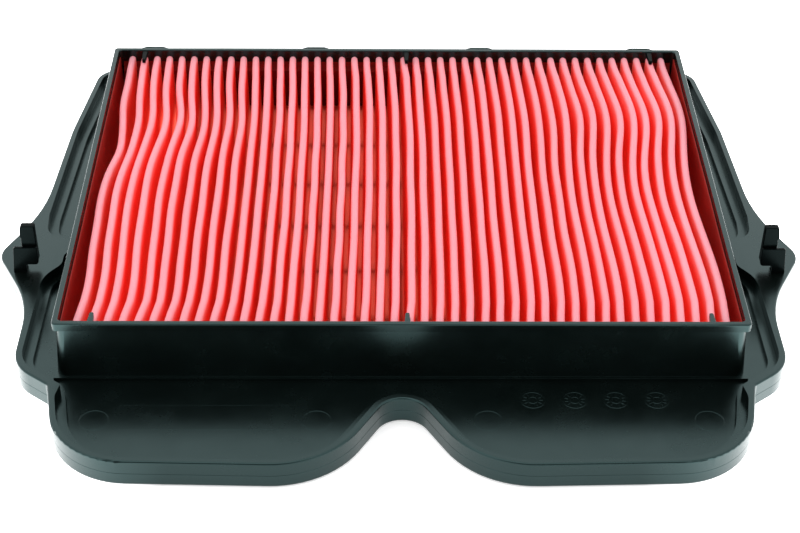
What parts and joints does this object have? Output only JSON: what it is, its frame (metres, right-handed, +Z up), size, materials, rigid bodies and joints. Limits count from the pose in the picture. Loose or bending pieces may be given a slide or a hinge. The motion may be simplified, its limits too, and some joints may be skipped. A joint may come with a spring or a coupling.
{
  "type": "motorcycle air filter",
  "caption": "Flat panel air filter: pleated oiled paper in a rectangular box on a flange with side ears, two front lobes, snap hooks and a rubber seal round its edge.",
  "frame": {"origin": "middle of the footprint, on the underside of the seal", "axes": "+X to the right across both ears, +Y away from the two front lobes, +Z up through the dirty-air side of the pleats"},
  "size_m": [0.2836, 0.2382, 0.0281],
  "materials": {
    "frame_plastic": "semi-gloss black moulded plastic",
    "seal_rubber": "satin black rubber",
    "filter_paper": "oiled red pleated paper",
    "potting_adhesive": "dark red cured adhesive"
  },
  "bodies": {
    "root": {"flange_plate": "frame_plastic", "media_box": "frame_plastic", "support_grid": "frame_plastic", "left_hook_stop": "frame_plastic", "right_hook_stop": "frame_plastic", "front_pleat_tabs": "frame_plastic", "rear_pleat_tabs": "frame_plastic", "rear_catches": "frame_plastic", "perimeter_seal": "seal_rubber", "pleated_media": "filter_paper", "front_potting": "potting_adhesive", "rear_potting": "potting_adhesive", "left_potting": "potting_adhesive", "right_potting": "potting_adhesive"},
    "left_hook_body": {"left_hook": "frame_plastic"},
    "right_hook_body": {"right_hook": "frame_plastic"}
  },
  "joints": [
    {"name": "left_hook_flex", "type": "hinge", "parent": "root", "child": "left_hook_body", "pos_m": [-0.1317, -0.01758, 0.0102], "axis": [0, 1, 0], "range_deg": [0, 4], "stiffness_Nm_per_rad": 0.5},
    {"name": "right_hook_flex", "type": "hinge", "parent": "root", "child": "right_hook_body", "pos_m": [0.1317, -0.01758, 0.0102], "axis": [0, -1, 0], "range_deg": [0, 4], "stiffness_Nm_per_rad": 0.5}
  ]
}
